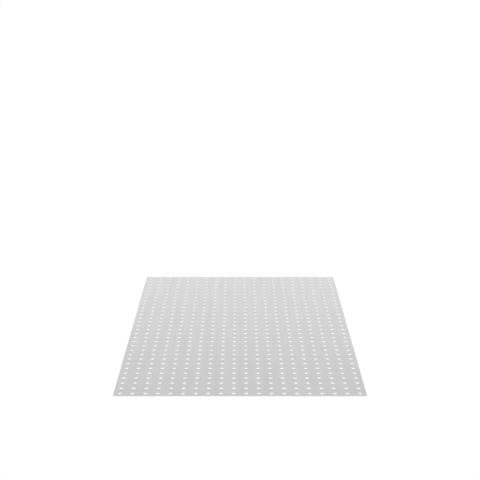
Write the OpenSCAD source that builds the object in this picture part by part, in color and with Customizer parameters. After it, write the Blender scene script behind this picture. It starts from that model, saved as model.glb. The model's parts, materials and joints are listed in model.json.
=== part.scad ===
// Drilled aluminium plate: one flat sheet with a square grid of round holes.
// Millimetres, +Z up. The origin is the middle of the underside, X runs across
// the sheet's width and Y along its length.

/* [Sheet] */
// Width of the sheet
sheet_w = 500; // [200:5:1000]
// Length of the sheet
sheet_l = 750; // [200:5:1500]
// Thickness of the sheet
sheet_t = 1; // [0.8:0.1:6]

/* [Holes] */
// Distance between hole centres, the same both ways
pitch = 25; // [16:0.5:60]
// Diameter of each hole
hole_d = 8; // [3:0.1:12]
// Least distance from a hole's centre to the sheet's edge
edge_margin = 12.5; // [8:0.5:40]

/* [Deburring] */
// Width of the 45 degree break at both rims of each hole
rim_break = 0.15; // [0.05:0.05:0.3]
// Width of the 45 degree break along the sheet's outline, on both faces
edge_break = 0.15; // [0.05:0.05:0.3]
// Width of the break on the four upright corners
corner_break = 0.5; // [0.2:0.1:2]

/* [Hidden] */

hole_fn = 48;
// Cutters run this far past the faces that they cut
overrun = 1;
// Keeps a whole number of pitches from being rounded down
count_slack = 0.001;

columns = floor((sheet_w - 2 * edge_margin) / pitch + count_slack) + 1;
rows = floor((sheet_l - 2 * edge_margin) / pitch + count_slack) + 1;

// Place of the hole number i in a centred line of n holes
function hole_place(i, n) = (i - (n - 1) / 2) * pitch;

// The sheet before drilling
module blank() {
    translate([-sheet_w / 2, -sheet_l / 2, 0])
        cube([sheet_w, sheet_l, sheet_t]);
}

// What a drill and a deburring countersink take out of the sheet, about Z:
// half of the section, with a straight wall between two 45 degree flares
module hole_cutter() {
    r = hole_d / 2;
    flare = rim_break + overrun;
    rotate_extrude($fn = hole_fn)
        polygon([
            [0, -overrun],
            [r + flare, -overrun],
            [r, rim_break],
            [r, sheet_t - rim_break],
            [r + flare, sheet_t + overrun],
            [0, sheet_t + overrun]
        ]);
}

// The grid of holes, centred on the sheet
module hole_grid() {
    for (i = [0 : columns - 1], j = [0 : rows - 1])
        translate([hole_place(i, columns), hole_place(j, rows), 0])
            hole_cutter();
}

// A 45 degree cutter along Z that takes `width` off an edge at the origin,
// where the material lies towards -X and -Y
module break_cutter(width, length) {
    reach = width + overrun;
    linear_extrude(length + 2 * overrun, center = true)
        polygon([
            [overrun, -reach],
            [overrun, overrun],
            [-reach, overrun]
        ]);
}

// Breaks along the outline of the upper and the lower face
module outline_breaks() {
    for (face = [0, 1]) {
        z = face * sheet_t;
        turn = face * 90;
        for (side = [0, 180]) {
            rotate([0, 0, side])
                translate([sheet_w / 2, 0, z])
                    rotate([90, 0, 0])
                        rotate([0, 0, turn - 90])
                            break_cutter(edge_break, sheet_l);
            rotate([0, 0, side])
                translate([0, sheet_l / 2, z])
                    rotate([0, -90, 0])
                        rotate([0, 0, 90 - turn])
                            break_cutter(edge_break, sheet_w);
        }
    }
}

// Breaks on the four upright corners
module corner_breaks() {
    for (x = [0, 1], y = [0, 1])
        mirror([x, 0, 0])
            mirror([0, y, 0])
                translate([sheet_w / 2, sheet_l / 2, sheet_t / 2])
                    break_cutter(corner_break, sheet_t);
}

module drilled_plate() {
    color([0.82, 0.82, 0.82])
        difference() {
            blank();
            hole_grid();
            outline_breaks();
            corner_breaks();
        }
}

drilled_plate();
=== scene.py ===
"""Looks of the drilled aluminium plate: one sheet of stock with a square grid of round holes.

Metres throughout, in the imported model's own frame: +X across the sheet, +Y along it and +Z up,
with the origin in the middle of the underside.
"""

import json
import logging
import math
from dataclasses import dataclass
from enum import IntEnum
from typing import Any

import bpy
import numpy as np
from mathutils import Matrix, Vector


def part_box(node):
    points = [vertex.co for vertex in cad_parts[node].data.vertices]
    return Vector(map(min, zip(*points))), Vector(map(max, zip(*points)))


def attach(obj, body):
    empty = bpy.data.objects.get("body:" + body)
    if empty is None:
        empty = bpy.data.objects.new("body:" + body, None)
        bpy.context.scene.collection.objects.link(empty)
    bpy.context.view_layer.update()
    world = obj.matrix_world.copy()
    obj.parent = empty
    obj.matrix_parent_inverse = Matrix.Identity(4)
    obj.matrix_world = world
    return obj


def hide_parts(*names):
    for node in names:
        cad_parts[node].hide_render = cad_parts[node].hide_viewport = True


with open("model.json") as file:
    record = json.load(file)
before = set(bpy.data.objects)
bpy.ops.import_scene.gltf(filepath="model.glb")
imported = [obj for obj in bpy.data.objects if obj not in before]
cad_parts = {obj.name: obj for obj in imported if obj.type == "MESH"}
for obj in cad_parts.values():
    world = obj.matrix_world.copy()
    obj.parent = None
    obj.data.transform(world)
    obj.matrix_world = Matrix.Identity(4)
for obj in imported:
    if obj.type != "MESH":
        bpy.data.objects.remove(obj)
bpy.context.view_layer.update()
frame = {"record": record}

LOG = logging.getLogger("drilled_plate")
MILLIMETRE = 0.001
CAD_NODE = "drilled_plate"
BODY = "root"
# Name of the UV map that carries the bake layout
BAKE_MAP = "OFBake"
WHITE = (1.0, 1.0, 1.0, 1.0)
# Steps from the first corner of a band's face to each of its corners, across the band and along it
CORNER_ACROSS = np.array([0, 0, 1, 1])
CORNER_ALONG = np.array([0, 1, 1, 0])
Socket = bpy.types.NodeSocket


class Finish(IntEnum):
    """Finishes on the sheet, in the order of its material slots."""

    ROLLED = 0
    DRILLED = 1
    SHEARED = 2


@dataclass(frozen=True)
class Patch:
    """A stretch of surface before welding.

    Attributes:
        points: Corner places, one row of three for each vertex.
        quads: Vertex numbers, one row of four for each face, anticlockwise from outside.
        uv: Places on the bake map, four rows of two for each face.
        finish: The Finish of each face.
    """

    points: np.ndarray
    quads: np.ndarray
    uv: np.ndarray
    finish: np.ndarray


def band_quads(rings: int, steps: int) -> np.ndarray:
    """Faces of a closed band, which is a grid of rings by steps whose last step meets the first.

    The face of ring k and step i joins (k, i), (k, i + 1), (k + 1, i + 1) and (k + 1, i).

    Args:
        rings: Number of rings of vertices.
        steps: Number of vertices in each ring.

    Returns:
        Vertex numbers with the shape (rings - 1, steps, 4).
    """
    ring, step = np.meshgrid(np.arange(rings - 1), np.arange(steps), indexing="ij")
    after = (step + 1) % steps
    near, far = ring * steps, (ring + 1) * steps
    return np.stack([near + step, near + after, far + after, far + step], axis=-1)


def welded(points: np.ndarray, grain: float) -> tuple[np.ndarray, np.ndarray]:
    """Joins the points that share a place.

    Args:
        points: Places with the shape (n, 3).
        grain: Points that round to the same multiple of this length become one.

    Returns:
        The places that are left, and for each old point the number of its new one.
    """
    cells = np.round(points / grain).astype(np.int64)
    _, first, new_number = np.unique(cells, axis=0, return_index=True, return_inverse=True)
    return points[first], new_number.reshape(-1)


@dataclass
class BakeSheet:
    """Layout of the bake map: the two faces side by side, and every wall unrolled in rows above them.

    Attributes:
        width: Width of the sheet.
        length: Length of the sheet.
        margin: Bare border round each face, on the map.
        rows: Number of rows for walls.
        row_fill: Share of a row's height, and of a hole's stretch along it, that a wall takes.
        holes_in_row: Number of hole walls in one row.
    """

    width: float
    length: float
    margin: float = 0.006
    rows: int = 21
    row_fill: float = 0.7
    holes_in_row: int = 36

    @property
    def scale(self) -> float:
        """Map units for each metre, at which both faces and three borders fill the map's width."""
        return (1.0 - 3.0 * self.margin) / (2.0 * self.width)

    @property
    def row_height(self) -> float:
        """Height of one row of walls, from what the faces leave free."""
        free = 1.0 - 2.0 * self.margin - self.length * self.scale
        return free / self.rows

    def on_face(self, points: np.ndarray, second: bool) -> np.ndarray:
        """Map places of points on a face, seen from above: their X and Y, scaled and set beside each other.

        Args:
            points: Places whose last axis holds X, Y and Z.
            second: True for the underside, which lies to the right of the top face.

        Returns:
            Map places with the same shape, but for a last axis of two.
        """
        corner = np.array([self.width, self.length]) / 2.0
        left = self.margin + second * (self.margin + self.width * self.scale)
        return (points[..., :2] + corner) * self.scale + np.array([left, self.margin])

    def in_row(self, row: np.ndarray, along: np.ndarray, across: np.ndarray) -> np.ndarray:
        """Map places on an unrolled wall.

        Args:
            row: Row number of each point.
            along: Place along the row, as a share of the map's width.
            across: Place across the wall, from 0 to 1.

        Returns:
            Map places, with a last axis of two.
        """
        base = 2.0 * self.margin + self.length * self.scale
        up = base + (row + across * self.row_fill) * self.row_height
        return np.stack(np.broadcast_arrays(along, up), axis=-1)


@dataclass
class DrilledSheet:
    """The sheet: two flat faces, a grid of deburred holes and a deburred outline.

    Attributes:
        width: Size along X.
        length: Size along Y.
        thickness: Size along Z.
        pitch: Distance between hole centres, both ways.
        hole_r: Radius of the straight wall of a hole.
        columns: Number of holes along X.
        rows: Number of holes along Y.
        rim_break: Width of the 45 degree break at both rims of a hole.
        edge_break: Width of the 45 degree break along the outline of both faces.
        corner_break: Width of the break on the four upright corners.
        hole_steps: Number of straight steps round a hole, a multiple of eight.
        weld_grain: Vertices closer than this become one.
        smooth_below_deg: Edges that turn by less than this are shaded smooth.
    """

    width: float
    length: float
    thickness: float
    pitch: float
    hole_r: float
    columns: int
    rows: int
    rim_break: float = 0.15 * MILLIMETRE
    edge_break: float = 0.15 * MILLIMETRE
    corner_break: float = 0.5 * MILLIMETRE
    hole_steps: int = 24
    weld_grain: float = 0.001 * MILLIMETRE
    smooth_below_deg: float = 30.0

    @classmethod
    def from_frame(cls) -> "DrilledSheet":
        """Takes the sheet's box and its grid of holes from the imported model.

        Returns:
            A sheet that fits the CAD node.
        """
        low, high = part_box(CAD_NODE)
        mounts = {mount["name"]: mount["dims"] for mount in frame["record"]["mounts"]}
        corners, centre = mounts["corner_holes"], mounts["centre_holes"]
        pitch_mm = centre["spacing_x_mm"]
        return cls(
            width=high.x - low.x,
            length=high.y - low.y,
            thickness=high.z - low.z,
            pitch=pitch_mm * MILLIMETRE,
            hole_r=centre["hole_r_mm"] * MILLIMETRE,
            columns=round(corners["spacing_x_mm"] / pitch_mm) + 1,
            rows=round(corners["spacing_y_mm"] / pitch_mm) + 1,
        )

    @property
    def side_steps(self) -> np.ndarray:
        """Places of the vertices along one side of a cell, from its middle, without the last corner.

        Their angle about the middle of the cell grows evenly from -45 degrees, so a place is half
        a pitch times the tangent of its angle.

        Returns:
            A quarter as many places as a hole has steps, in rising order.
        """
        quarter = self.hole_steps // 4
        angle = np.linspace(-math.pi / 4.0, math.pi / 4.0, quarter + 1)[:-1]
        return np.tan(angle) * self.pitch / 2.0

    def centres(self, count: int) -> np.ndarray:
        """Places of a centred line of holes, one pitch apart."""
        return (np.arange(count) - (count - 1) / 2.0) * self.pitch

    def pulled_in(self, points: np.ndarray, inset: float) -> np.ndarray:
        """Moves the vertices on the sheet's outline in by an inset, and breaks the corners.

        A coordinate past the inset outline is set back to it. The upright corner is a plane on which
        |x| + |y| is constant: the vertices next to a corner slide along their side to where it meets
        that plane, and the corner's own vertex goes halfway between them.

        Args:
            points: Places with X and Y along the last axis.
            inset: Distance by which the outline is drawn in.

        Returns:
            The moved X and Y, with the same shape.
        """
        half = np.array([self.width, self.length]) / 2.0
        edge = half - inset
        met = half.sum() - self.corner_break - edge[::-1]
        first_step = self.pitch / 2.0 + self.side_steps[1]
        size = np.abs(points)
        at_edge = size > half - self.weld_grain
        by_corner = size > half - first_step - self.weld_grain
        is_corner = at_edge.all(axis=-1, keepdims=True)
        slides = by_corner & at_edge[..., ::-1]
        moved = np.where(at_edge, edge, np.where(slides, met, size))
        moved = np.where(is_corner, (edge + met) / 2.0, moved)
        return np.sign(points) * moved

    def holes(self, layout: BakeSheet) -> Patch:
        """All cells of the grid, each a band from its border above, through its hole, to its border below.

        Round the cell's middle, at angle a, a border point is half a pitch times (cos a, sin a) divided
        by the larger of |cos a| and |sin a|, and a point of the hole is its radius times (cos a, sin a).
        Six such rings make the profile: border and rim above, wall top, wall foot, rim and border below.

        Args:
            layout: The bake map's layout.

        Returns:
            The faces of both sides of the sheet and of all the holes.
        """
        angle = np.arange(self.hole_steps) * (2.0 * math.pi / self.hole_steps)
        round_ring = np.stack([np.cos(angle), np.sin(angle)], axis=-1)
        square_ring = round_ring / np.abs(round_ring).max(axis=-1, keepdims=True) * self.pitch / 2.0
        rim_r = self.hole_r + self.rim_break
        profile = [square_ring, round_ring * rim_r, round_ring * self.hole_r]
        rings = np.stack(profile + profile[::-1])
        top, foot = self.thickness - self.rim_break, self.rim_break
        heights = np.array([self.thickness, self.thickness, top, foot, 0.0, 0.0])

        middle_x, middle_y = np.meshgrid(
            self.centres(self.columns), self.centres(self.rows), indexing="ij"
        )
        middles = np.stack([middle_x.ravel(), middle_y.ravel()], axis=-1)
        flat = self.pulled_in(middles[:, None, None, :] + rings, self.edge_break)
        upright = np.broadcast_to(heights[None, :, None, None], flat.shape[:3] + (1,))
        points = np.concatenate([flat, upright], axis=-1)

        count, ring_count = len(middles), len(heights)
        first = np.arange(count)[:, None, None, None] * ring_count * self.hole_steps
        quads = first + band_quads(ring_count, self.hole_steps)
        corners = points.reshape(-1, 3)[quads]
        # The first and the last band are the sheet's faces, and those between them are the hole's wall
        uv = np.empty(quads.shape + (2,))
        uv[:, 0] = layout.on_face(corners[:, 0], second=False)
        uv[:, -1] = layout.on_face(corners[:, -1], second=True)
        uv[:, 1:-1] = self.hole_walls_uv(layout, count, quads.shape[1] - 2)
        finish = np.full(quads.shape[:3], Finish.DRILLED)
        finish[:, [0, -1]] = Finish.ROLLED
        return Patch(points.reshape(-1, 3), quads.reshape(-1, 4), uv.reshape(-1, 4, 2), finish.ravel())

    def hole_walls_uv(self, layout: BakeSheet, count: int, bands: int) -> np.ndarray:
        """Map places of the hole walls, each unrolled into its own stretch of a row.

        Args:
            layout: The bake map's layout.
            count: Number of holes.
            bands: Number of bands of faces in one wall.

        Returns:
            Map places with the shape (count, bands, hole_steps, 4, 2).
        """
        hole = np.arange(count)[:, None, None, None]
        band = np.arange(bands)[None, :, None, None] + CORNER_ACROSS
        step = np.arange(self.hole_steps)[None, None, :, None] + CORNER_ALONG
        side_gap = (1.0 - layout.row_fill) / 2.0
        place = hole % layout.holes_in_row + side_gap + step / self.hole_steps * layout.row_fill
        row = hole // layout.holes_in_row
        return layout.in_row(row, place / layout.holes_in_row, band / bands)

    def outline(self, layout: BakeSheet) -> Patch:
        """The sheet's edge, a profile carried round the outline.

        The outline runs anticlockwise through the cells' own border vertices. The profile goes up from
        the underside: drawn in by the edge break, full, full, and drawn in again at the top face.

        Args:
            layout: The bake map's layout.

        Returns:
            The faces of the four sides and of their breaks.
        """
        along_x = (self.centres(self.columns)[:, None] + self.side_steps).ravel()
        along_y = (self.centres(self.rows)[:, None] + self.side_steps).ravel()
        half_x, half_y = self.width / 2.0, self.length / 2.0
        path = np.concatenate([
            np.stack([along_x, np.full_like(along_x, -half_y)], axis=-1),
            np.stack([np.full_like(along_y, half_x), along_y], axis=-1),
            np.stack([-along_x, np.full_like(along_x, half_y)], axis=-1),
            np.stack([np.full_like(along_y, -half_x), -along_y], axis=-1),
        ])
        insets = [self.edge_break, 0.0, 0.0, self.edge_break]
        heights = np.array([0.0, self.edge_break, self.thickness - self.edge_break, self.thickness])
        flat = np.stack([self.pulled_in(path, inset) for inset in insets])
        upright = np.broadcast_to(heights[:, None, None], flat.shape[:2] + (1,))
        points = np.concatenate([flat, upright], axis=-1)

        quads = band_quads(len(insets), len(path))
        sides = [len(along_x), len(along_y)] * 2
        uv = self.outline_uv(layout, path, np.repeat(np.arange(len(sides)), sides), len(insets) - 1)
        finish = np.full(quads.shape[:2], Finish.SHEARED)
        return Patch(points.reshape(-1, 3), quads.reshape(-1, 4), uv.reshape(-1, 4, 2), finish.ravel())

    def outline_uv(
        self, layout: BakeSheet, path: np.ndarray, side: np.ndarray, bands: int
    ) -> np.ndarray:
        """Map places of the sheet's edge, with one row for each side.

        Args:
            layout: The bake map's layout.
            path: Outline vertices in order.
            side: The side's number for each step of the outline.
            bands: Number of bands of faces in the edge.

        Returns:
            Map places with the shape (bands, steps, 4, 2).
        """
        after = np.roll(path, -1, axis=0)
        lengthwise = side % 2 == 1
        far = np.where(lengthwise, self.length, self.width) / 2.0
        begin, end = (np.where(lengthwise, at[:, 1], at[:, 0]) for at in (path, after))
        # The first two sides run along +X and +Y, and the other two run back
        turned = np.where(side < 2, 1.0, -1.0)
        run = np.stack([begin, end, end, begin], axis=-1) * turned[:, None] + far[:, None]
        band = np.arange(bands)[:, None, None] + CORNER_ACROSS
        row = layout.rows - 1 - side[None, :, None]
        return layout.in_row(row, layout.margin + run[None] * layout.scale, band / bands)

    def build(self) -> bpy.types.Object:
        """Makes the mesh: both patches welded, with smooth walls and sharp breaks.

        Returns:
            The new object, at the origin.
        """
        layout = BakeSheet(self.width, self.length)
        patches = [self.holes(layout), self.outline(layout)]
        shift = np.cumsum([0] + [len(patch.points) for patch in patches[:-1]])
        quads = np.concatenate([patch.quads + first for patch, first in zip(patches, shift)])
        points, number = welded(np.concatenate([patch.points for patch in patches]), self.weld_grain)

        mesh = bpy.data.meshes.new("aluminium_sheet")
        mesh.from_pydata(points.tolist(), [], number[quads].tolist())
        finish = np.concatenate([patch.finish for patch in patches])
        mesh.polygons.foreach_set("material_index", finish.astype(np.int32))
        mesh.polygons.foreach_set("use_smooth", np.ones(len(quads), dtype=bool))
        bake_map = mesh.uv_layers.new(name=BAKE_MAP)
        uv = np.concatenate([patch.uv for patch in patches])
        bake_map.uv.foreach_set("vector", uv.astype(np.float32).ravel())
        mesh.set_sharp_from_angle(angle=math.radians(self.smooth_below_deg))
        mesh.update()

        sheet = bpy.data.objects.new("aluminium_sheet", mesh)
        bpy.context.scene.collection.objects.link(sheet)
        return sheet

    def dress(self, piece: bpy.types.Object, finishes: "dict[Finish, MetalFinish]") -> None:
        """Gives the sheet its finishes and hands it to the frame.

        Args:
            piece: The object that build() made.
            finishes: The metal's look for each Finish.
        """
        for finish in Finish:
            piece.data.materials.append(finishes[finish].material())
        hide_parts(CAD_NODE)
        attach(piece, BODY)


class NodeTree:
    """A node tree that is built by short calls."""

    # Numbers of a Mix node's sockets for colours: the factor, the two colours and the result
    MIX_INPUTS = (0, 6, 7)
    MIX_RESULT = 2

    def __init__(self, tree: bpy.types.NodeTree) -> None:
        """Wraps the tree of a material, a world or a group, and empties it."""
        self.tree = tree
        tree.nodes.clear()

    def add(self, kind: str, inputs: dict[Any, Any] | None = None, **settings: Any) -> bpy.types.Node:
        """Adds a node.

        Args:
            kind: Blender's name for the node's type.
            inputs: For an input's name or number, the socket that feeds it or its plain value.
            settings: Properties of the node.

        Returns:
            The new node.
        """
        node = self.tree.nodes.new(kind)
        for name, value in settings.items():
            setattr(node, name, value)
        for key, value in (inputs or {}).items():
            if isinstance(value, Socket):
                self.tree.links.new(value, node.inputs[key])
            else:
                node.inputs[key].default_value = value
        return node

    def maths(self, operation: str, *values: Any) -> Socket:
        """Adds a Math node for sockets or numbers, and returns its result."""
        node = self.add("ShaderNodeMath", dict(enumerate(values)), operation=operation)
        return node.outputs["Value"]

    def vector_maths(self, operation: str, *values: Any) -> Socket:
        """Adds a Vector Math node for sockets or triples, and returns its result."""
        node = self.add("ShaderNodeVectorMath", dict(enumerate(values)), operation=operation)
        return node.outputs["Value" if operation == "LENGTH" else "Vector"]

    def mixed(self, factor: Any, first: Any, second: Any) -> Socket:
        """Adds a Mix node for colours, and returns its result."""
        inputs = dict(zip(self.MIX_INPUTS, (factor, first, second)))
        return self.add("ShaderNodeMix", inputs, data_type="RGBA").outputs[self.MIX_RESULT]

    def noise(self, place: Socket, detail: float, roughness: float) -> Socket:
        """Adds a Noise Texture of one cell for each unit of place, and returns its value."""
        inputs = {"Vector": place, "Scale": 1.0, "Detail": detail, "Roughness": roughness}
        return self.add("ShaderNodeTexNoise", inputs).outputs["Fac"]

    def mapped(self, value: Any, start: tuple[Any, Any], end: tuple[Any, Any]) -> Socket:
        """Adds a Map Range node.

        Args:
            value: The socket or number to map.
            start: The range that it comes from.
            end: The range that it goes to.

        Returns:
            The mapped value, kept within its range.
        """
        names = ("From Min", "From Max", "To Min", "To Max")
        inputs = {"Value": value, **dict(zip(names, (*start, *end)))}
        return self.add("ShaderNodeMapRange", inputs).outputs["Result"]


@dataclass(frozen=True)
class ToolLines:
    """Effect: the long fine lines that a roll or a cutting edge leaves, and soft broad bands under them.

    Attributes:
        line_detail: Octaves of the lines.
        relief_detail: Octaves of the lines' relief, which leaves out the finest.
        line_roughness: Strength of each finer octave.
        band_detail: Octaves of the bands.
        band_roughness: Strength of each finer octave of the bands.
    """

    line_detail: float = 5.0
    relief_detail: float = 1.0
    line_roughness: float = 0.72
    band_detail: float = 2.0
    band_roughness: float = 0.5

    NAME = "Tool lines"
    INPUTS = {
        "Line Scale": "NodeSocketVector",
        "Band Scale": "NodeSocketVector",
        "Line Amount": "NodeSocketFloat",
        "Band Amount": "NodeSocketFloat",
    }
    OUTPUTS = ("Tone", "Line", "Relief")
    NOISE_MIDDLE = 0.5
    PLAIN_TONE = 1.0

    def group(self) -> bpy.types.NodeTree:
        """Builds the group, or finds the one that was built before.

        Lines and bands are noise in a space that is squeezed across them and stretched along them.
        Tone is 1 plus both of them, each about 0 and times its amount. Relief is the broader lines.

        Returns:
            A group with the outputs Tone, Line and Relief.
        """
        known = bpy.data.node_groups.get(self.NAME)
        if known:
            return known
        group = bpy.data.node_groups.new(self.NAME, "ShaderNodeTree")
        for name, kind in self.INPUTS.items():
            group.interface.new_socket(name, in_out="INPUT", socket_type=kind)
        for name in self.OUTPUTS:
            group.interface.new_socket(name, in_out="OUTPUT", socket_type="NodeSocketFloat")
        nodes = NodeTree(group)
        given = nodes.add("NodeGroupInput").outputs
        place = nodes.add("ShaderNodeTexCoord").outputs["Object"]
        in_lines = nodes.vector_maths("MULTIPLY", place, given["Line Scale"])
        in_bands = nodes.vector_maths("MULTIPLY", place, given["Band Scale"])
        line = nodes.noise(in_lines, self.line_detail, self.line_roughness)
        relief = nodes.noise(in_lines, self.relief_detail, self.line_roughness)
        band = nodes.noise(in_bands, self.band_detail, self.band_roughness)
        line_part = self.swing(nodes, line, given["Line Amount"])
        band_part = self.swing(nodes, band, given["Band Amount"])
        tone = nodes.maths("ADD", nodes.maths("ADD", line_part, band_part), self.PLAIN_TONE)
        nodes.add("NodeGroupOutput", {"Tone": tone, "Line": line, "Relief": relief})
        return group

    def swing(self, nodes: NodeTree, noise: Socket, amount: Socket) -> Socket:
        """Adds the nodes that set a noise about 0 and multiply it by its amount, and returns the result."""
        about_zero = nodes.maths("SUBTRACT", noise, self.NOISE_MIDDLE)
        return nodes.maths("MULTIPLY", about_zero, amount)


@dataclass(frozen=True)
class MetalFinish:
    """Bare aluminium as one tool left it.

    Attributes:
        name: The material's name.
        colour: Colour of the metal, linear; painted shade on drilled walls, painted light on sheared edges.
        line_scale: Lines for each metre along X, Y and Z.
        band_scale: Bands for each metre along X, Y and Z.
        line_amount: How far the lines change the tone.
        band_amount: How far the bands change the tone.
        roughness: Roughness in the deepest line and on the highest.
        line_depth: Height from the lowest relief of the lines to the highest.
    """

    name: str
    colour: tuple[float, float, float]
    line_scale: tuple[float, float, float]
    band_scale: tuple[float, float, float]
    line_amount: float
    band_amount: float
    roughness: tuple[float, float]
    line_depth: float

    def material(self) -> bpy.types.Material:
        """Builds the material: one metal shader whose colour, roughness and normal follow the tool's lines.

        Returns:
            The new material.
        """
        material = bpy.data.materials.new(self.name)
        material.use_nodes = True
        nodes = NodeTree(material.node_tree)
        values = {
            "Line Scale": self.line_scale,
            "Band Scale": self.band_scale,
            "Line Amount": self.line_amount,
            "Band Amount": self.band_amount,
        }
        lines = nodes.add("ShaderNodeGroup", node_tree=ToolLines().group())
        for name, value in values.items():
            lines.inputs[name].default_value = value
        tone, line, relief = (lines.outputs[name] for name in ToolLines.OUTPUTS)
        depth = {"Distance": self.line_depth, "Height": relief}
        surface = {
            "Base Color": self.coloured(nodes, nodes.vector_maths("MULTIPLY", self.colour, tone)),
            "Metallic": 1.0,
            "Roughness": nodes.mapped(line, (0.0, 1.0), self.roughness),
            "Normal": nodes.add("ShaderNodeBump", depth).outputs["Normal"],
        }
        shader = nodes.add("ShaderNodeBsdfPrincipled", surface)
        nodes.add("ShaderNodeOutputMaterial", {"Surface": shader.outputs["BSDF"]})
        return material

    def coloured(self, nodes: NodeTree, metal: Socket) -> Socket:
        """The metal's colour as it is, for a finish with nothing else on it."""
        return metal


@dataclass(frozen=True)
class RolledFinish(MetalFinish):
    """Mill finish of the two faces: satin grey, with rolling lines and a wiped ring at each hole.

    Attributes:
        sheet: The sheet, whose grid places the rings.
        ring_colour: Colour of the metal next to a hole, linear.
        ring_width: Width of the ring that deburring leaves round a hole.
    """

    sheet: DrilledSheet
    ring_colour: tuple[float, float, float, float]
    ring_width: float

    CELL_MIDDLE = (0.5, 0.5, 0.0)

    def coloured(self, nodes: NodeTree, metal: Socket) -> Socket:
        """Adds the wiped rings.

        The place within a cell is the fraction of X and Y over the pitch, less a half. Its length times
        the pitch is the distance from the hole's middle, which fades the ring from the rim outwards.

        Args:
            nodes: The material's tree.
            metal: The colour of the rolled metal.

        Returns:
            The colour with rings.
        """
        sheet = self.sheet
        corner = (sheet.columns * sheet.pitch / 2.0, sheet.rows * sheet.pitch / 2.0, 0.0)
        place = nodes.add("ShaderNodeTexCoord").outputs["Object"]
        per_pitch = (1.0 / sheet.pitch, 1.0 / sheet.pitch, 0.0)
        in_cells = nodes.vector_maths("MULTIPLY", nodes.vector_maths("ADD", place, corner), per_pitch)
        in_cell = nodes.vector_maths("FRACTION", in_cells)
        from_middle = nodes.vector_maths("SUBTRACT", in_cell, self.CELL_MIDDLE)
        away = nodes.maths("MULTIPLY", nodes.vector_maths("LENGTH", from_middle), sheet.pitch)
        rim_r = sheet.hole_r + sheet.rim_break
        ring = nodes.mapped(away, (rim_r, rim_r + self.ring_width), (1.0, 0.0))
        return nodes.mixed(ring, metal, self.ring_colour)


@dataclass
class Studio:
    """White floor and soft light.

    Attributes:
        floor_half: Half the side of the floor.
        floor_gap: How far the floor lies below the plate, so that the two faces don't fight.
        floor_colour: Colour of the floor as it lights the object, linear.
        white_share: How much of the floor is plain white to the camera and to reflections.
        dome: Strength of the even white dome, at which a colour renders as it is written.
        box_watts: Power of each soft box, in a ring that starts behind the plate and runs anticlockwise.
        box_width: Width of a soft box.
        box_height: Height of a soft box.
        box_distance: Distance of a soft box from the plate's middle.
        box_base: Height of a soft box's lower edge over the floor.
    """

    floor_half: float = 60.0
    floor_gap: float = 0.05 * MILLIMETRE
    floor_colour: tuple[float, float, float, float] = (0.98, 0.98, 0.98, 1.0)
    white_share: float = 0.95
    dome: float = 1.0
    box_watts: tuple[float, ...] = (3.1, 0.8, 0.8, 0.8)
    box_width: float = 3.4
    box_height: float = 0.9
    box_distance: float = 2.0
    box_base: float = 0.02

    def build(self) -> None:
        """Makes the dome, the floor and the soft boxes."""
        self.build_dome()
        self.build_floor()
        for number, watts in enumerate(self.box_watts):
            self.build_soft_box(number * 2.0 * math.pi / len(self.box_watts), watts)

    def build_dome(self) -> None:
        """Makes the world an even white dome."""
        world = bpy.data.worlds.new("white_dome")
        world.use_nodes = True
        nodes = NodeTree(world.node_tree)
        light = nodes.add("ShaderNodeBackground", {"Color": WHITE, "Strength": self.dome})
        nodes.add("ShaderNodeOutputWorld", {"Surface": light.outputs["Background"]})
        bpy.context.scene.world = world

    def build_floor(self) -> None:
        """Makes the floor, white to the camera and to reflections, which still takes the plate's shadow."""
        half, level = self.floor_half, -self.floor_gap
        corners = [(-half, -half, level), (half, -half, level), (half, half, level), (-half, half, level)]
        mesh = bpy.data.meshes.new("floor")
        mesh.from_pydata(corners, [], [(0, 1, 2, 3)])
        floor = bpy.data.objects.new("floor", mesh)
        bpy.context.scene.collection.objects.link(floor)

        material = bpy.data.materials.new("white_floor")
        material.use_nodes = True
        nodes = NodeTree(material.node_tree)
        path = nodes.add("ShaderNodeLightPath").outputs
        seen = nodes.maths("MAXIMUM", path["Is Camera Ray"], path["Is Glossy Ray"])
        seen = nodes.maths("MAXIMUM", seen, path["Is Transmission Ray"])
        share = nodes.maths("MULTIPLY", seen, self.white_share)
        matt = nodes.add("ShaderNodeBsdfDiffuse", {"Color": self.floor_colour}).outputs["BSDF"]
        white = nodes.add("ShaderNodeEmission", {"Color": WHITE, "Strength": 1.0}).outputs["Emission"]
        surface = nodes.add("ShaderNodeMixShader", {0: share, 1: matt, 2: white}).outputs["Shader"]
        nodes.add("ShaderNodeOutputMaterial", {"Surface": surface})
        mesh.materials.append(material)

    def build_soft_box(self, turn: float, watts: float) -> None:
        """Stands a wide soft box at one side of the plate, facing it.

        Args:
            turn: Angle of the box round the plate, from the place behind it.
            watts: Power of the box.
        """
        lamp = bpy.data.lights.new("soft_box", "AREA")
        lamp.shape = "RECTANGLE"
        lamp.size, lamp.size_y = self.box_width, self.box_height
        lamp.energy = watts
        box = bpy.data.objects.new("soft_box", lamp)
        level = self.box_base + self.box_height / 2.0
        box.location = (-self.box_distance * math.sin(turn), self.box_distance * math.cos(turn), level)
        box.rotation_euler = (-math.pi / 2.0, 0.0, turn)
        box.visible_camera = False
        bpy.context.scene.collection.objects.link(box)


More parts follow.
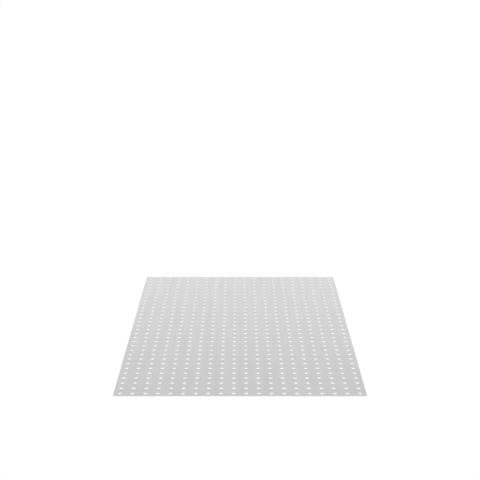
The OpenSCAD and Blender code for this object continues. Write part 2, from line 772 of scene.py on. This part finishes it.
@dataclass
class PhotoCamera:
    """The camera, where the photograph's grid of holes puts it: square in front of the plate, looking down.

    Attributes:
        distance: Level distance from the plate's middle.
        height: Height over the plate's top face.
        tilt_deg: How far it looks down.
        lens_mm: Focal length.
        sensor_mm: Width of the sensor, and its height, as the picture is square.
    """

    distance: float = 2.178
    height: float = 0.836
    tilt_deg: float = 16.01
    lens_mm: float = 50.0
    sensor_mm: float = 24.0

    def build(self, top: float) -> None:
        """Makes the scene's camera.

        Args:
            top: Height of the plate's top face.
        """
        lens = bpy.data.cameras.new("camera")
        lens.lens = self.lens_mm
        lens.sensor_width = self.sensor_mm
        camera = bpy.data.objects.new("camera", lens)
        camera.location = (0.0, -self.distance, top + self.height)
        camera.rotation_euler = (math.radians(90.0 - self.tilt_deg), 0.0, 0.0)
        bpy.context.scene.collection.objects.link(camera)
        bpy.context.scene.camera = camera


def metal_finishes(sheet: DrilledSheet) -> dict[Finish, MetalFinish]:
    """The metal's looks: lines along the rolled faces, round the drilled walls and up the sheared edges.

    Args:
        sheet: The sheet that they are for.

    Returns:
        The metal's look for each Finish.
    """
    return {
        Finish.ROLLED: RolledFinish(
            name="rolled_aluminium",
            colour=(0.533, 0.526, 0.529),
            line_scale=(380.0, 5.0, 4000.0),
            band_scale=(48.0, 2.0, 4000.0),
            line_amount=0.24,
            band_amount=0.09,
            roughness=(0.40, 0.26),
            line_depth=0.07 * MILLIMETRE,
            sheet=sheet,
            ring_colour=(0.60, 0.60, 0.60, 1.0),
            ring_width=0.35 * MILLIMETRE,
        ),
        Finish.DRILLED: MetalFinish(
            name="drilled_aluminium_painted_shade",
            # Painted shade: cut metal made darker than the sheared edge, standing for the shade inside the
            # holes
            colour=(0.575, 0.575, 0.575),
            line_scale=(60.0, 60.0, 9000.0),
            band_scale=(40.0, 40.0, 40.0),
            line_amount=0.12,
            band_amount=0.06,
            roughness=(0.42, 0.26),
            line_depth=0.003 * MILLIMETRE,
        ),
        Finish.SHEARED: MetalFinish(
            name="sheared_aluminium_painted_light",
            # Fresh cut metal, partly painted light: made lighter than the drilled walls for the light that
            # the outline catches
            colour=(0.835, 0.835, 0.835),
            line_scale=(1500.0, 1500.0, 60.0),
            band_scale=(30.0, 30.0, 30.0),
            line_amount=0.14,
            band_amount=0.06,
            roughness=(0.44, 0.30),
            line_depth=0.012 * MILLIMETRE,
        ),
    }


def main() -> None:
    """Builds the plate, its finishes, the studio and the camera."""
    logging.basicConfig(level=logging.INFO, format="%(name)s: %(message)s")
    bpy.context.scene.view_settings.view_transform = "Standard"
    sheet = DrilledSheet.from_frame()
    piece = sheet.build()
    sheet.dress(piece, metal_finishes(sheet))
    faces = len(piece.data.polygons)
    LOG.info("%s: %d faces, %d by %d holes", piece.name, faces, sheet.columns, sheet.rows)
    Studio().build()
    PhotoCamera().build(sheet.thickness)


if __name__ == "__main__":
    main()
